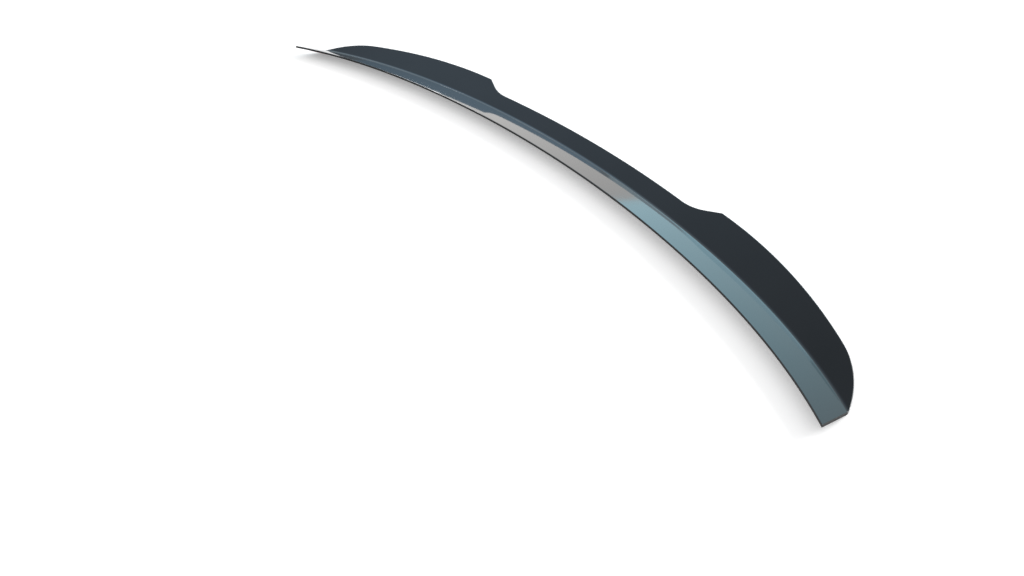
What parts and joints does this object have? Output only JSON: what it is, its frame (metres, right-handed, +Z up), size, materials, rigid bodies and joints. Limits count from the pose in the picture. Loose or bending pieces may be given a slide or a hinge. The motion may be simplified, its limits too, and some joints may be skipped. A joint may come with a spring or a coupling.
{
  "type": "spoiler extension",
  "caption": "Gloss black bonded boot-lid spoiler extension: a formed sheet with a flange, a raised blade with two wings and a centre lip, a turned-down rim, and foam tape with a red liner.",
  "frame": {"origin": "on the bonding face of the foam tape at mid-span, midway across the tape", "axes": "+X across the car, +Y to the rear of the car, +Z up"},
  "size_m": [1.2, 0.1987, 0.0234],
  "materials": {
    "gloss_shell": "polished black outside, satin black underneath",
    "foam": "matt closed-cell foam",
    "liner": "satin film"
  },
  "bodies": {
    "root": {"spoiler_shell": "gloss_shell", "foam_tape": "foam", "release_liner": "liner"}
  },
  "joints": []
}
